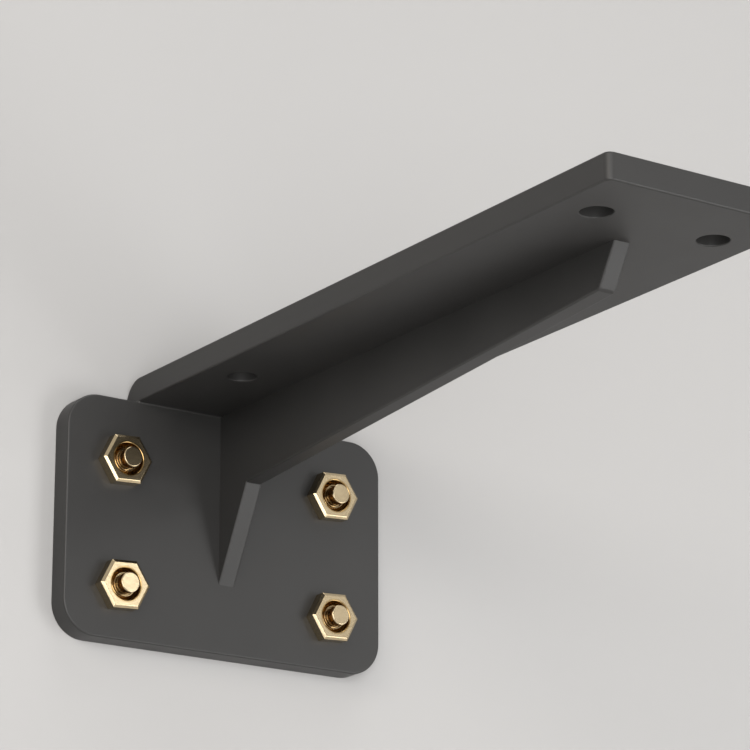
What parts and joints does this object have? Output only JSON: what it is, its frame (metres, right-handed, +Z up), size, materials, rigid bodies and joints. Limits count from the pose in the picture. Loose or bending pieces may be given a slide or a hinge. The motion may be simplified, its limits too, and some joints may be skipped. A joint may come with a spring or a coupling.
{
  "type": "wall-mounted shelf bracket",
  "caption": "Heavy shelf bracket: a thick steel plate folded into a wall leg and a long flat arm, with a tapering rib under the arm and bolt anchors with low hexagon nuts in the wall leg.",
  "frame": {"origin": "on the wall plane, which is the wall leg's back face, at the centre of the four anchors", "axes": "+Z up, +Y into the wall along the anchors, +X to the right along the wall as seen from the room; the arm runs towards -Y"},
  "size_m": [0.1, 0.2654, 0.0734],
  "materials": {
    "powder_coat": "satin charcoal powder coat",
    "gold_passivated_steel": "satin gold zinc passivation"
  },
  "bodies": {
    "root": {"folded_plate": "powder_coat", "rib": "powder_coat", "hex_nut_upper_left": "gold_passivated_steel", "hex_nut_upper_right": "gold_passivated_steel", "hex_nut_lower_left": "gold_passivated_steel", "hex_nut_lower_right": "gold_passivated_steel", "anchor_bolt_upper_left": "gold_passivated_steel", "anchor_bolt_upper_right": "gold_passivated_steel", "anchor_bolt_lower_left": "gold_passivated_steel", "anchor_bolt_lower_right": "gold_passivated_steel", "expansion_clip_upper_left": "gold_passivated_steel", "expansion_clip_upper_right": "gold_passivated_steel", "expansion_clip_lower_left": "gold_passivated_steel", "expansion_clip_lower_right": "gold_passivated_steel"}
  },
  "joints": []
}
